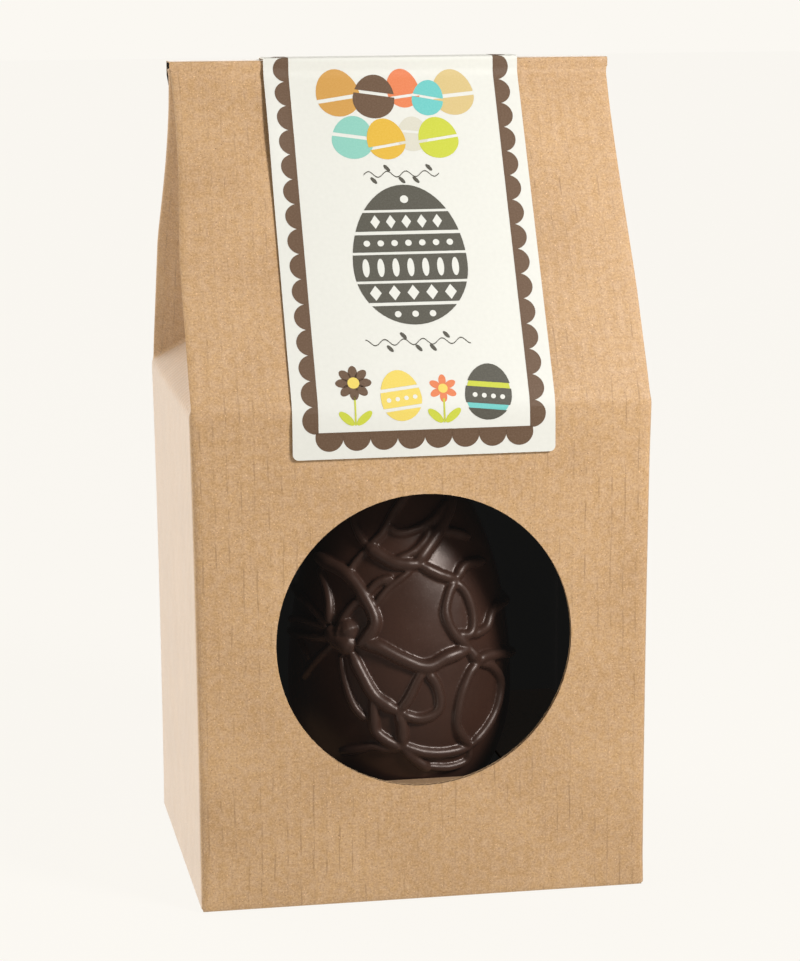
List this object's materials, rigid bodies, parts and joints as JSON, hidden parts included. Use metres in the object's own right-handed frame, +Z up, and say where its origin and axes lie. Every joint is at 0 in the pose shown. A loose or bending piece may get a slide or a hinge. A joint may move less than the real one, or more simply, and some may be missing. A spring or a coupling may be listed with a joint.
{
  "type": "boxed chocolate egg",
  "caption": "Dark chocolate egg with piped drizzle, standing in a kraft board carton with a round window, a folded gable top and a card label over the ridge.",
  "frame": {"origin": "on the floor, under the middle of the carton", "axes": "+Z up the carton, -Y towards the side with the round window, +X to the right seen from that side"},
  "size_m": [0.132, 0.1098, 0.2388],
  "materials": {
    "kraft_board": "matt corrugated kraft board with fine fibres and faint flute lines, black on its inner faces",
    "label_card": "smooth white card with flat printed colours, slight sheen",
    "platform_board": "matt corrugated kraft board",
    "dark_chocolate": "dark chocolate with a soft satin sheen, glossier on the piped drizzle"
  },
  "bodies": {
    "root": {"carton": "kraft_board", "label": "label_card", "platform": "platform_board", "egg": "dark_chocolate"}
  },
  "joints": []
}
